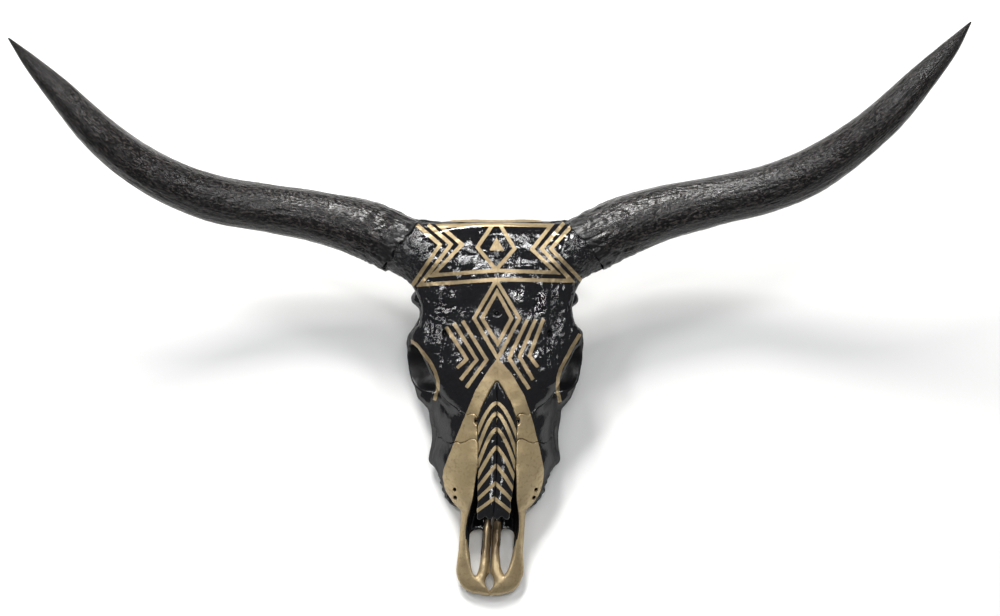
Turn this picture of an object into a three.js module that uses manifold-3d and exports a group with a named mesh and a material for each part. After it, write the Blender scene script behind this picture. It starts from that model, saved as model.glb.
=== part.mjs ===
// A long-horned cow's skull without its lower jaw, painted black and gold.
// It lies face up on its cheek teeth, condyles and jugular processes.
// Millimetres, +Z up, +Y towards the poll, so the muzzle points to -Y.
//
// The bones are shaped in the skull's own frame and then tipped as one:
// u runs across the face, v from the muzzle tip to the poll, and w stands
// off the flat of the forehead, so almost every w is negative.

import * as THREE from 'three';
import { mergeVertices } from 'three/addons/utils/BufferGeometryUtils.js';
import Module from 'manifold-3d';

const wasm = await Module();
wasm.setup();

// ---------------------------------------------------------------- dimensions

const FACE_PITCH = THREE.MathUtils.degToRad(16);
const REST_DEPTH = 48; // the floor below the face plane, at the muzzle tip
const TOOTH_CROWN = 13; // how far the cheek teeth stand below the palate
const PALATE_THICKNESS = 8;
const SNOUT_LEAN = 10; // how far the muzzle tip leans to -X
const LEAN_STARTS = 200;
const SUTURE = 0.35; // the gap between neighbouring bones
const SHEATH_START = 0.008; // where the horn sheath begins, as a share of the horn's curve
const SHEATH_GAP = 0.0006; // the share between the sheath and the bone before it

const ROOF_POWER = 2; // a superellipse section's roundness: 2 is an ellipse
const JAW_POWER = 3;
const BRAINCASE_POWER = 2.3;
const FISSURE = { near: 11.5, far: 29.5, front: 21, back: 79 };
const FRONT_SLOT = { v: 15, halfAcross: 6, halfAlong: 12 };
const TOOTH_ROW = { front: 127, outerFront: 50, outerBack: 70 };
const TOOTH_LENGTHS = [15, 18, 19, 25, 29, 31];
const TOOTH_WIDTHS = [14, 18, 20, 23, 25, 24];
const TOOTH_OVERLAP = 0.6; // neighbouring teeth run into each other
const TOOTH_ROW_END = TOOTH_ROW.front + TOOTH_LENGTHS.reduce((sum, length) => sum + length);
const CELL_REACH = 150; // past the widest bone that is cut out

// Sections across the face: v, half width, top, widest level, bottom.
const FACE = [
  [-2, 18, -33, -37, -41],
  [3, 31, -29, -37, -43],
  [12, 40.5, -26, -37, -44],
  [30, 46, -25, -39, -46],
  [60, 45, -21, -42, -53],
  [95, 45, -13, -45, -63],
  [110, 45, -10, -47, -67],
  [118, 53, -9, -52, -70],
  [125, 61, -8, -57, -73],
  [140, 70.5, -7, -63, -79],
  [157, 77, -6, -68, -86],
  [173, 86, -5, -74, -93],
  [182, 88, -4, -76, -96],
  [198, 83, -3, -75, -101],
  [214, 81, -3, -73, -106],
  [231, 85, -5, -72, -110],
  [247, 88, -9, -72, -113],
  [262, 88, -14, -74, -112],
  [274, 74, -22, -76, -104],
];

const FOREHEAD = [
  [222, 30, -4, -24, -60],
  [238, 46, -1.5, -27, -64],
  [252, 60, -0.5, -28, -68],
  [266, 75, 0, -29, -68],
  [277, 79, 0.5, -27, -58],
  [287, 82, 0.5, -22, -42],
  [302, 87, 1, -18, -34],
  [316, 93, 1, -16, -32],
  [330, 102, 1, -17, -32],
  [342, 113, 1, -19, -32],
  [352, 114, 1, -20, -33],
  [366, 105, 1.5, -18, -32],
  [386, 101.5, 2, -17, -32],
  [418, 112, 3, -22, -44],
  [440, 116, 3, -25, -50],
  [465, 116, 2, -26, -54],
  [485, 114, -1, -26, -52],
  [496, 108, -6, -26, -48],
  [502, 96, -13, -26, -40],
];

const BRAINCASE = [
  [236, 40, -12, -50, -78],
  [255, 46, -10, -52, -86],
  [275, 44, -10, -52, -92],
  [300, 41, -10, -55, -99],
  [325, 42, -10, -58, -106],
  [350, 49, -10, -62, -114],
  [380, 56, -10, -66, -126],
  [405, 59, -10, -70, -136],
  [430, 58, -12, -76, -147],
  [450, 50, -20, -84, -152],
  [462, 36, -40, -92, -146],
];

// Levels down the nape: w, half width, front, widest place, back.
const NAPE = [
  [-6, 94, 425, 470, 497],
  [-30, 92, 420, 465, 500],
  [-55, 84, 415, 455, 490],
  [-80, 76, 410, 448, 480],
  [-105, 68, 408, 442, 471],
  [-130, 56, 405, 438, 464],
  [-150, 42, 405, 435, 458],
];

// Paths: u outwards, v, w, half thickness, half height.
const CHEEK_AND_ARCH = [
  [72, 236, -78, 14, 16],
  [78, 256, -80, 17, 18],
  [88, 272, -84, 20, 16],
  [98, 290, -88, 17, 13],
  [106, 310, -90, 13, 12],
  [112, 330, -88, 10, 12],
  [113.5, 344, -85, 8, 11],
  [107, 357, -87, 6, 9.5],
  [100, 372, -90, 5.5, 9],
  [99, 386, -92, 6.5, 9],
  [106, 399, -92, 9, 10],
  [96, 412, -86, 10, 12],
  [76, 418, -80, 14, 12],
  [52, 420, -76, 16, 12],
];

const POSTORBITAL_BAR = [
  [112, 338, -86, 9, 7],
  [113, 344, -64, 8, 6],
  [111, 347, -44, 8, 6],
  [105, 347, -24, 10, 8],
];

const JUGULAR_PROCESS = [
  [54, 428, -112, 14, 12],
  [54, 430, -145, 9, 11],
  [52, 433, -182, 5, 9],
];

const PTERYGOID_PLATE = [
  [26, 256, -96, 4, 14],
  [25, 290, -102, 3.5, 17],
  [22, 322, -104, 3.5, 15],
  [18, 350, -108, 4, 8],
];

// Rounded lumps of bone, and the hollows that are cut last: centre and radii.
const LUMPS = [
  [[0, 495, -22], [78, 10, 11]], // the ridge along the poll
  [[0, 486, -52], [16, 14, 26]],
];
const SIDE_LUMPS = [
  [[27, 455, -158], [17, 19, 25]], // condyles
  [[38, 402, -138], [11, 17, 17]], // ear capsules
];
const ORBIT = [[98, 304, -57], [52, 33, 30]];
const THROAT = [[0, 294, -114], [19, 34, 27]];
const SPINE_HOLE = [[0, 474, -141], [17, 42, 15]];

// Horn centre lines from inside the forehead to the tip: u, v, w, radius.
const HORNS = {
  left: [
    [-60, 448, -32, 36],
    [-92, 457, -35, 41],
    [-122, 468, -38, 42],
    [-182, 494, -41, 39.6],
    [-245, 510, -38, 35.2],
    [-308, 520, -30, 33],
    [-369, 530, -13, 32],
    [-425, 549, 10, 30.3],
    [-475, 578, 35, 27.4],
    [-518, 615, 60, 24.4],
    [-555, 657, 82, 18.4],
    [-591, 698, 105, 10],
    [-613, 725, 125, 1],
  ],
  right: [
    [56, 448, -32, 36],
    [86, 457, -35, 41],
    [113, 468, -38, 42],
    [169, 495, -41, 41],
    [231, 516, -38, 37],
    [293, 530, -30, 33.6],
    [353, 543, -13, 32.6],
    [409, 564, 10, 31],
    [458, 595, 35, 27.6],
    [501, 632, 60, 24.3],
    [539, 674, 82, 19],
    [574, 715, 105, 10.9],
    [595, 745, 125, 1],
  ],
};

// Bone borders seen from the side, as v and w.
const BORDERS = {
  incisive: [[-20, 60], [172, 60], [172, -20], [95, -60], [86, -90], [-20, -90]],
  lacrimal: [
    [206, 60], [240, 60], [240, -12], [288, -30], [294, -46], [270, -62],
    [222, -62], [210, -42], [206, -15],
  ],
  zygomatic: [
    [222, -62], [270, -62], [300, -66], [322, -60], [354, -60], [356, -78],
    [368, -84], [360, -104], [300, -114], [240, -112], [224, -94],
  ],
  maxilla: [
    [-20, 60], [212, 60], [212, -55], [232, -62], [250, -70], [288, -76],
    [286, -150], [-20, -150],
  ],
};

// The nasal bones, from their free tips back: v, outer edge, underside.
const NASAL = [
  [101, 20, -17],
  [106, 22, -17],
  [130, 22.5, -16],
  [160, 24, -15],
  [200, 25.5, -13],
  [231, 26, -12],
  [250, 21, -12],
  [270, 12, -11],
  [287, 2, -10],
];

// The nose opening: v, half width, top. Its floor follows the palate.
const NOSE_OPENING = [
  [20, 15, 60],
  [27, 23, 60],
  [36, 27, 60],
  [54, 30, 60],
  [80, 33.5, 60],
  [112, 33.5, 60],
  [130, 29.5, 60],
  [150, 26, 60],
  [171, 25, 60],
  [173, 25, -15],
  [200, 23, -14],
  [225, 16, -18],
];

// ------------------------------------------------------------------- shaping

function floorDepth(v) {
  return -REST_DEPTH - v * Math.tan(FACE_PITCH);
}

function palateDepth(v) {
  return floorDepth(v) + TOOTH_CROWN;
}

// A point on a superellipse whose upper and lower halves differ.
function superellipse(angle, half, up, down, upPower, downPower) {
  const cos = Math.cos(angle);
  const sin = Math.sin(angle);
  const power = sin > 0 ? upPower : downPower;
  const reach = sin > 0 ? up : down;
  const across = Math.sign(cos) * half * Math.abs(cos) ** (2 / power);
  const along = Math.sign(sin) * reach * Math.abs(sin) ** (2 / power);
  return [across, along];
}

// A closed skin over rings of equal point counts, with a fan on each end.
function loft(rings) {
  const sides = rings[0].length;
  const points = rings.flat();
  const triangles = [];
  const quad = (a, b, c, d) => triangles.push(a, b, c, a, c, d);
  for (let ring = 0; ring + 1 < rings.length; ring += 1) {
    for (let side = 0; side < sides; side += 1) {
      const here = ring * sides + side;
      const next = ring * sides + ((side + 1) % sides);
      quad(here, next, next + sides, here + sides);
    }
  }
  for (const [ring, flip] of [[0, true], [rings.length - 1, false]]) {
    const hub = points.length;
    const centre = new THREE.Vector3();
    rings[ring].forEach((point) => centre.addScaledVector(point, 1 / sides));
    points.push(centre);
    for (let side = 0; side < sides; side += 1) {
      const here = ring * sides + side;
      const next = ring * sides + ((side + 1) % sides);
      triangles.push(hub, flip ? next : here, flip ? here : next);
    }
  }
  const geometry = new THREE.BufferGeometry().setFromPoints(points);
  geometry.setIndex(triangles);
  return geometry;
}

function signedVolume(positions, index) {
  const corner = (n) => new THREE.Vector3().fromArray(positions, index[n] * 3);
  let six = 0;
  for (let n = 0; n < index.length; n += 3) {
    six += corner(n).dot(corner(n + 1).cross(corner(n + 2)));
  }
  return six / 6;
}

// The muzzle's lean slides points to -X, by more the nearer they are to its tip.
function lean(positions) {
  for (let n = 0; n < positions.length; n += 3) {
    const share = THREE.MathUtils.smoothstep(LEAN_STARTS - positions[n + 1], 0, LEAN_STARTS - 10);
    positions[n] -= SNOUT_LEAN * share;
  }
  return positions;
}

// A three.js geometry as a leaning solid that can be joined and cut.
function solid(geometry) {
  geometry.deleteAttribute('normal');
  geometry.deleteAttribute('uv');
  const merged = mergeVertices(geometry, 1e-3);
  const vertProperties = lean(Float32Array.from(merged.attributes.position.array));
  const triVerts = Uint32Array.from(merged.index.array);
  if (signedVolume(vertProperties, triVerts) < 0) {
    triVerts.reverse();
  }
  return new wasm.Manifold(new wasm.Mesh({ numProp: 3, vertProperties, triVerts }));
}

// Sections stand across v, at [v, half width, top, widest level, bottom].
function trunk(sections, sides, upPower, downPower) {
  const rings = sections.map(([v, half, top, mid, bottom]) => {
    const ring = [];
    for (let side = 0; side < sides; side += 1) {
      const angle = (2 * Math.PI * side) / sides;
      const [u, w] = superellipse(angle, half, top - mid, mid - bottom, upPower, downPower);
      ring.push(new THREE.Vector3(u, v, mid + w));
    }
    return ring;
  });
  return solid(loft(rings));
}

// Levels lie across w, at [w, half width, front, widest place, back].
function column(levels, sides, power) {
  const rings = levels.map(([w, half, front, mid, back]) => {
    const ring = [];
    for (let side = 0; side < sides; side += 1) {
      const angle = (2 * Math.PI * side) / sides;
      const [u, v] = superellipse(angle, half, back - mid, mid - front, power, power);
      ring.push(new THREE.Vector3(u, mid + v, w));
    }
    return ring;
  });
  return solid(loft(rings));
}

// A limb's rings face along its curve. sizeAt gives the half thickness and
// half height at a share of the curve's points.
function limb(curve, sizeAt, { from = 0, to = 1, steps, sides, up }) {
  const rings = [];
  for (let step = 0; step <= steps; step += 1) {
    const share = from + ((to - from) * step) / steps;
    const centre = curve.getPoint(share);
    const along = curve.getTangent(share);
    const across = new THREE.Vector3().crossVectors(along, up).normalize();
    const high = new THREE.Vector3().crossVectors(across, along);
    const [thick, tall] = sizeAt(share);
    const ring = [];
    for (let side = 0; side < sides; side += 1) {
      const angle = (2 * Math.PI * side) / sides;
      const point = centre.clone();
      point.addScaledVector(across, thick * Math.cos(angle));
      point.addScaledVector(high, tall * Math.sin(angle));
      ring.push(point);
    }
    rings.push(ring);
  }
  return solid(loft(rings));
}

// A value read from a table's column, by a share of the table's rows.
function readColumn(table, column, share) {
  const place = share * (table.length - 1);
  const row = Math.min(Math.floor(place), table.length - 2);
  return THREE.MathUtils.lerp(table[row][column], table[row + 1][column], place - row);
}

function bonyLimb(path, side, options) {
  const points = path.map(([u, v, w]) => new THREE.Vector3(side * u, v, w));
  const curve = new THREE.CatmullRomCurve3(points, false, 'centripetal');
  const sizeAt = (share) => [readColumn(path, 3, share), readColumn(path, 4, share)];
  return limb(curve, sizeAt, options);
}

function ellipsoid([centre, radii], sides, side = 1) {
  const geometry = new THREE.SphereGeometry(1, sides, Math.round(sides * 0.6));
  geometry.scale(...radii);
  geometry.translate(side * centre[0], centre[1], centre[2]);
  return solid(geometry);
}

// A prism across the face whose outline is given as v and w.
function sidePrism(outline, near, far, grow = 0) {
  const points = outline.map(([v, w]) => new THREE.Vector2(v, w));
  if (THREE.ShapeUtils.area(points) < 0) {
    points.reverse();
  }
  const count = points.length;
  const grown = points.map((point, n) => {
    const before = point.clone().sub(points[(n + count - 1) % count]).normalize();
    const after = points[(n + 1) % count].clone().sub(point).normalize();
    const outward = new THREE.Vector2(before.y + after.y, -before.x - after.x).normalize();
    const facing = outward.x * after.y - outward.y * after.x;
    return point.clone().addScaledVector(outward, grow / Math.max(facing, 0.5));
  });
  const rings = [near, far].map((u) => grown.map(({ x, y }) => new THREE.Vector3(u, x, y)));
  const faces = THREE.ShapeUtils.triangulateShape(grown, []);
  const geometry = new THREE.BufferGeometry().setFromPoints(rings.flat());
  const index = [];
  faces.forEach(([a, b, c]) => {
    index.push(a, c, b, a + count, b + count, c + count);
  });
  for (let n = 0; n < count; n += 1) {
    const next = (n + 1) % count;
    index.push(n, next, next + count, n, next + count, n + count);
  }
  geometry.setIndex(index);
  return solid(geometry);
}

function join(solids) {
  return solids.reduce((whole, piece) => whole.add(piece));
}

function both(make) {
  return [make(-1), make(1)];
}

// ----------------------------------------------------------- bones and teeth

const OFF_FACE = new THREE.Vector3(0, 0, 1);

function hornCurve(rows) {
  const points = rows.map(([u, v, w]) => new THREE.Vector3(u, v, w));
  return new THREE.CatmullRomCurve3(points, false, 'centripetal');
}

// The horn's curve starts two rows inside the forehead.
const BASE_SHARE = 2 / (HORNS.left.length - 1) + SHEATH_START;

function hornStretch(rows, from, to, steps, grow = 0) {
  const sizeAt = (share) => {
    const radius = readColumn(rows, 3, share) + grow;
    return [radius, radius];
  };
  return limb(hornCurve(rows), sizeAt, { from, to, steps, sides: 14, up: OFF_FACE });
}

function hornCore(rows) {
  return hornStretch(rows, 0, BASE_SHARE, 3);
}

function hornSheath(rows) {
  return hornStretch(rows, BASE_SHARE, 1, 19);
}

// The room a sheath takes up in the bone round its base.
function sheathRoom(rows) {
  return hornStretch(rows, BASE_SHARE - SHEATH_GAP, 1.5 * BASE_SHARE, 3, SUTURE);
}

function tooth(side, front, length, width) {
  const middle = front + length / 2;
  const share = (middle - TOOTH_ROW.front) / (TOOTH_ROW_END - TOOTH_ROW.front);
  const outer = THREE.MathUtils.lerp(TOOTH_ROW.outerFront, TOOTH_ROW.outerBack, share);
  const top = palateDepth(middle) + TOOTH_CROWN;
  const bottom = floorDepth(middle) - TOOTH_CROWN;
  const rings = [top, bottom].map((w) => {
    const ring = [];
    for (let n = 0; n < 8; n += 1) {
      const [u, v] = superellipse((Math.PI * (n + 0.5)) / 4, width / 2, length / 2, length / 2, 4, 4);
      ring.push(new THREE.Vector3(side * (outer - width / 2) + u, middle + v, w));
    }
    return ring;
  });
  return solid(loft(rings));
}

function toothRow(side) {
  let front = TOOTH_ROW.front;
  return TOOTH_LENGTHS.map((length, n) => {
    const made = tooth(side, front, length + TOOTH_OVERLAP, TOOTH_WIDTHS[n]);
    front += length;
    return made;
  });
}

function noseOpening() {
  const rings = NOSE_OPENING.map(([v, half, top]) => {
    const bottom = palateDepth(v) + PALATE_THICKNESS;
    const ring = [];
    for (let side = 0; side < 12; side += 1) {
      const angle = (2 * Math.PI * side) / 12;
      const middle = Math.min(top - 6, bottom + 24);
      const [u, w] = superellipse(angle, half, top - middle, middle - bottom, 6, JAW_POWER);
      ring.push(new THREE.Vector3(u, v, middle + w));
    }
    return ring;
  });
  return solid(loft(rings));
}

// An upright prism over an ellipse or a rounded slot in the palate.
function slot(u, v, halfAcross, halfAlong, power) {
  const levels = [-30, -90].map((w) => [w, halfAcross, v - halfAlong, v, v + halfAlong]);
  const shifted = column(levels, 12, power).getMesh();
  for (let n = 0; n < shifted.vertProperties.length; n += 3) {
    shifted.vertProperties[n] += u;
  }
  return new wasm.Manifold(shifted);
}

function nasalCell(side, grow) {
  const inner = grow > 0 ? -1 : SUTURE / 2;
  const rings = NASAL.map(([v, outer, under], row) => {
    let end = 0;
    if (row === 0) {
      end = -grow;
    } else if (row === NASAL.length - 1) {
      end = grow;
    }
    const ring = [[inner, under - grow], [outer + grow, under - grow], [outer + grow, 60], [inner, 60]];
    return ring.map(([u, w]) => new THREE.Vector3(side * u, v + end, w));
  });
  return solid(loft(rings));
}

// One side of the head, up to half a suture from its leaning midline.
function halfHead(side) {
  const rings = [];
  for (let v = -30; v <= 330; v += 20) {
    const corners = [[SUTURE / 2, -250], [300, -250], [300, 100], [SUTURE / 2, 100]];
    rings.push(corners.map(([u, w]) => new THREE.Vector3(side * u, v, w)));
  }
  return solid(loft(rings));
}

function belowFloor() {
  const outline = [[-200, floorDepth(-200)], [900, floorDepth(900)], [900, -900], [-200, -900]];
  return sidePrism(outline, -900, 900);
}

function solidSkull() {
  return join([
    trunk(FACE, 18, ROOF_POWER, JAW_POWER),
    trunk(FOREHEAD, 18, JAW_POWER, ROOF_POWER),
    trunk(BRAINCASE, 14, BRAINCASE_POWER, BRAINCASE_POWER),
    column(NAPE, 14, BRAINCASE_POWER),
    ...LUMPS.map((lump) => ellipsoid(lump, 10)),
    ...both((side) => bonyLimb(CHEEK_AND_ARCH, side, { steps: 13, sides: 8, up: OFF_FACE })),
    ...both((side) => bonyLimb(POSTORBITAL_BAR, side, {
      steps: 5, sides: 8, up: new THREE.Vector3(side, 0, 0.2),
    })),
    ...both((side) => bonyLimb(JUGULAR_PROCESS, side, {
      steps: 4, sides: 8, up: new THREE.Vector3(side, 0, 0),
    })),
    ...both((side) => bonyLimb(PTERYGOID_PLATE, side, { steps: 4, sides: 8, up: OFF_FACE })),
    ...both((side) => SIDE_LUMPS.map((lump) => ellipsoid(lump, 10, side))).flat(),
    ...both(toothRow).flat(),
    hornCore(HORNS.left),
    hornCore(HORNS.right),
  ]);
}

function openHollows(bone) {
  const hollows = [
    noseOpening(),
    ...both((side) => slot(
      (side * (FISSURE.near + FISSURE.far)) / 2,
      (FISSURE.front + FISSURE.back) / 2,
      (FISSURE.far - FISSURE.near) / 2,
      (FISSURE.back - FISSURE.front) / 2,
      3,
    )),
    slot(0, FRONT_SLOT.v, FRONT_SLOT.halfAcross, FRONT_SLOT.halfAlong, 1.3),
    ...both((side) => ellipsoid(ORBIT, 14, side)),
    ellipsoid(THROAT, 12),
    ellipsoid(SPINE_HOLE, 12),
    sheathRoom(HORNS.left),
    sheathRoom(HORNS.right),
    belowFloor(),
  ];
  return hollows.reduce((rest, hollow) => rest.subtract(hollow), bone);
}

// The one connected body of a cut piece, without slivers and closed voids.
function mainBody(piece) {
  const bodies = piece.decompose();
  return bodies.reduce((best, body) => (body.volume() > best.volume() ? body : best));
}

// The nasal bones roof the nose opening, so they are taken before it is cut.
// Every other bone is then taken with a thin suture round it.
function partBones(bone) {
  const bones = {};
  let rest = openHollows(bone);
  const take = (name, cell, grown) => {
    bones[name] = mainBody(rest.intersect(cell));
    rest = rest.subtract(grown);
  };
  const names = { '-1': 'left', 1: 'right' };
  const takeCheek = (kind, inner) => {
    for (const side of [-1, 1]) {
      const cell = sidePrism(BORDERS[kind], side * inner, side * CELL_REACH);
      const grown = sidePrism(BORDERS[kind], side * (inner - SUTURE), side * CELL_REACH, SUTURE);
      take(`${kind}_${names[side]}`, cell, grown);
    }
  };
  const takeAcross = (kind) => {
    const cell = sidePrism(BORDERS[kind], -CELL_REACH, CELL_REACH);
    for (const side of [-1, 1]) {
      bones[`${kind}_${names[side]}`] = mainBody(rest.intersect(cell).intersect(halfHead(side)));
    }
    rest = rest.subtract(sidePrism(BORDERS[kind], -CELL_REACH, CELL_REACH, SUTURE));
  };
  for (const side of [-1, 1]) {
    bones[`nasal_${names[side]}`] = mainBody(bone.intersect(nasalCell(side, 0)));
  }
  rest = rest.subtract(nasalCell(-1, SUTURE)).subtract(nasalCell(1, SUTURE));
  takeAcross('incisive');
  takeCheek('lacrimal', 26);
  takeCheek('zygomatic', 62);
  takeAcross('maxilla');
  bones.cranium = mainBody(rest);
  return bones;
}

// --------------------------------------------------------------- scene graph

const black = { color: 0x0b0a0e, roughness: 0.22, metalness: 0 };
const gold = { color: 0xa98f62, roughness: 0.38, metalness: 0.8 };
const horn = { color: 0x2f2a27, roughness: 0.7, metalness: 0 };

const FINISHES = {
  cranium: black,
  lacrimal: black,
  zygomatic: black,
  maxilla: black,
  nasal: black,
  incisive: gold,
  horn,
};

function meshOf(name, piece) {
  const { vertProperties, triVerts } = piece.getMesh();
  const geometry = new THREE.BufferGeometry();
  geometry.setAttribute('position', new THREE.BufferAttribute(vertProperties, 3));
  geometry.setIndex(new THREE.BufferAttribute(triVerts, 1));
  geometry.computeVertexNormals();
  const finish = FINISHES[name.split('_')[0]];
  const mesh = new THREE.Mesh(geometry, new THREE.MeshStandardMaterial(finish));
  mesh.name = name;
  return mesh;
}

const tipped = new THREE.Group();
tipped.rotation.x = FACE_PITCH;

for (const [name, bone] of Object.entries(partBones(solidSkull()))) {
  tipped.add(meshOf(name, bone));
}
for (const [side, rows] of Object.entries(HORNS)) {
  tipped.add(meshOf(`horn_${side}`, hornSheath(rows)));
}

// The origin is on the floor, under the middle of the whole skull's box.
const skull = new THREE.Group();
skull.name = 'cow_skull';
skull.add(tipped);
skull.updateMatrixWorld(true);
const box = new THREE.Box3().setFromObject(skull, true);
const middle = box.getCenter(new THREE.Vector3());
tipped.position.set(-middle.x, -middle.y, -box.min.z);

export default skull;
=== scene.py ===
"""The looks of a long-horned cow skull, painted black and gold, lying face up.

The bones are carved as one distance field, parted along their sutures and skinned;
the horns are lofted. Shapes are in millimetres in the skull's own frame: u across the
face, v from the muzzle tip to the poll, w off the forehead. Only the last step of each
piece turns them into the frame's metres.
"""
import math

import bpy
import numpy as np
import openvdb
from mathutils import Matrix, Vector


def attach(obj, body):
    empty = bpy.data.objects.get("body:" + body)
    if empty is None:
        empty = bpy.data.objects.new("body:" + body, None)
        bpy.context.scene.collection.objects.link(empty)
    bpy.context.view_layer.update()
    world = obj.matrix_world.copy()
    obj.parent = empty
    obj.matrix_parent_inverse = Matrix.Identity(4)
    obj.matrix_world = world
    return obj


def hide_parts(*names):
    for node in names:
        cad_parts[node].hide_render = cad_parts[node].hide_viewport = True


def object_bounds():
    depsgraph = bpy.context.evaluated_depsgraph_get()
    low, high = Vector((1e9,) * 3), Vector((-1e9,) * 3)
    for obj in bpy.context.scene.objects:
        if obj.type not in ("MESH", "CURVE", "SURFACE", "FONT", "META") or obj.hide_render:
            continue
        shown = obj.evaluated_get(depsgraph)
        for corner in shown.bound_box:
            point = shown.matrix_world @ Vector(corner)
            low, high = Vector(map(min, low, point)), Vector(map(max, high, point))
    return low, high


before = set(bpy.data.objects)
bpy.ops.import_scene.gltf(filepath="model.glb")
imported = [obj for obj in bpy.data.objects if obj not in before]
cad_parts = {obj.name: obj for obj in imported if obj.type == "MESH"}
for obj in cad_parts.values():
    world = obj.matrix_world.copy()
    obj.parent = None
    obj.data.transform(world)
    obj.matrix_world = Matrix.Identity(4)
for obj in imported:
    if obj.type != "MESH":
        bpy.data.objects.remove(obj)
cad_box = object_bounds()

# ---- driving dimensions

MM = 0.001
FACE_PITCH = math.radians(16)  # the face plane's slope as the skull lies
FACE_ORIGIN = (8.99, -344.85, 46.14)  # where u = v = w = 0 lies in the frame
REST_DEPTH = 48.0  # the floor below the face plane at the muzzle tip
TOOTH_CROWN = 13.0
PALATE_THICKNESS = 8.0
PALATE_VAULT = 4.0
ENAMEL_DEPTH = 2.4
SNOUT_LEAN, LEAN_STARTS, LEAN_ENDS = 10.0, 200.0, 10.0
BARS_LEAN = 8.0
HORN_LEAN = 4.5  # how far the horn bases sit towards -u
CHEEK_LEAN = 3.0
STEP = 1.25  # the distance field's cell
SUTURE = 0.07  # half the gap between neighbouring bones
FUSED = 2.5  # how far bones with no visible suture overlap
FIELD_LOW = (-3 * STEP, -12.0, -186.0)
FIELD_HIGH = (176.0, 516.0, 20.0)

CAMERA_DISTANCE = 2200.0
CAMERA_AIM = (4.0, 386.0)  # u and v at the picture's middle
PICTURE_WIDTH = 1330.0  # mm across the picture at the face plane
SENSOR = 36.0

# Sections across the face: v, half width, top, widest level, bottom.
FACE = [
    (-2, 15, -33, -37, -41), (3, 31, -29, -37, -43), (12, 40.5, -26, -37, -44),
    (30, 46, -25, -39, -46), (60, 44.5, -21, -42, -53), (95, 44.5, -13, -45, -63),
    (110, 45, -10, -47, -67), (118, 53, -9, -52, -70), (125, 59, -8, -55, -73),
    (140, 68, -7, -60, -79), (157, 75.5, -6, -66, -86), (173, 85, -5, -74, -93),
    (182, 87.5, -4, -76, -96), (198, 83, -3, -75, -101), (214, 81, -3, -73, -106),
    (231, 84.5, -5, -72, -110), (247, 87.5, -9, -72, -113), (262, 87.5, -14, -74, -112),
    (274, 74, -22, -76, -104),
]
FOREHEAD = [
    (222, 30, -4, -24, -60), (238, 46, -1.5, -27, -64), (252, 60, -0.5, -28, -68),
    (266, 75, 0, -29, -68), (277, 80.5, 0.5, -27, -58), (287, 85.5, 0.5, -22, -42),
    (302, 92, 1, -18, -34), (316, 98, 1, -16, -32), (330, 105.5, 1, -17, -32),
    (342, 114, 1, -19, -32), (352, 114, 1, -20, -33), (366, 105, 1.5, -18, -32),
    (386, 101.5, 2, -17, -32), (402, 106, 2.5, -18, -36), (418, 112, 3, -22, -44),
    (440, 116, 3, -25, -50), (465, 116, 2, -26, -54), (485, 114, -1, -26, -52),
    (496, 108, -6, -26, -48), (502, 96, -13, -26, -40),
]
FOREHEAD_POWERS = [2, 2, 2.1, 2.2, 2.4, 2.6] + [2.8] * (len(FOREHEAD) - 6)
BRAINCASE = [
    (236, 40, -12, -50, -78), (255, 46, -10, -52, -86), (275, 44, -10, -52, -92),
    (300, 41, -10, -55, -99), (325, 42, -10, -58, -106), (350, 49, -10, -62, -114),
    (380, 56, -10, -66, -126), (405, 59, -10, -70, -136), (430, 58, -12, -76, -147),
    (450, 50, -20, -84, -152), (462, 36, -40, -92, -146),
]
# Levels down the nape: w, half width, back, widest place, front.
NAPE = [
    (-150, 42, 458, 435, 405), (-130, 56, 464, 438, 405), (-105, 68, 471, 442, 408),
    (-80, 76, 480, 448, 410), (-55, 84, 490, 455, 415), (-30, 92, 500, 465, 420),
    (-6, 94, 497, 470, 425),
]
# Paths: u outwards, v, w, half thickness and, where it differs, half height.
CHEEK_AND_ARCH = [
    (72, 236, -78, 14, 16), (78, 256, -80, 17, 18), (88, 272, -84, 20, 16),
    (98, 290, -88, 17, 13), (106, 310, -90, 13, 12), (112, 330, -88, 9.5, 12),
    (113.5, 344, -85, 7.5, 11), (107, 357, -87, 5.5, 9.5), (100, 372, -90, 5.5, 9),
    (99, 386, -92, 6, 9), (103, 398, -92, 8, 9.5), (96, 412, -86, 10, 12),
    (76, 418, -80, 14, 12), (52, 420, -76, 16, 12),
]
POSTORBITAL_BAR = [
    (112, 338, -86, 9, 6), (113, 344, -64, 8, 5), (111, 347, -44, 8, 5.5),
    (105, 347, -24, 10, 8),
]
JUGULAR_PROCESS = [(54, 428, -112, 14, 12), (54, 430, -145, 9, 11), (52, 433, -184, 5, 9)]
PTERYGOID_PLATE = [
    (26, 256, -96, 4, 14), (25, 290, -102, 3, 17), (22, 322, -104, 3, 15),
    (18, 350, -108, 4, 8),
]
FACIAL_CREST = [(84, 178, -76, 6), (82, 205, -80, 5), (82, 235, -79, 7)]
EAR_TUBE = [(56, 418, -106, 9), (74, 424, -102, 8), (82, 426, -100, 6.5)]
PEDICLE = [
    (58, 448, -32, 36), (89, 457, -35, 40.5), (106, 463.5, -36.5, 40.3),
    (117.5, 468, -38, 39.3), (140, 478, -39.5, 38.6),
]
PEDICLE_END = (131, 474)  # where the horn's core is cut off, square to
PEDICLE_WAY = (0.91, 0.41)  # this way out
PALATINE_BAR = [
    (6.5, 122, -63, 4.2, 4.2), (6.6, 100, -54.5, 4.8, 4.8), (6.7, 75, -47, 5.3, 5.3),
    (7, 50, -40, 5.4, 5.4), (9, 32, -35.5, 6, 5.6), (14, 18, -33.5, 8, 6),
]

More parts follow.
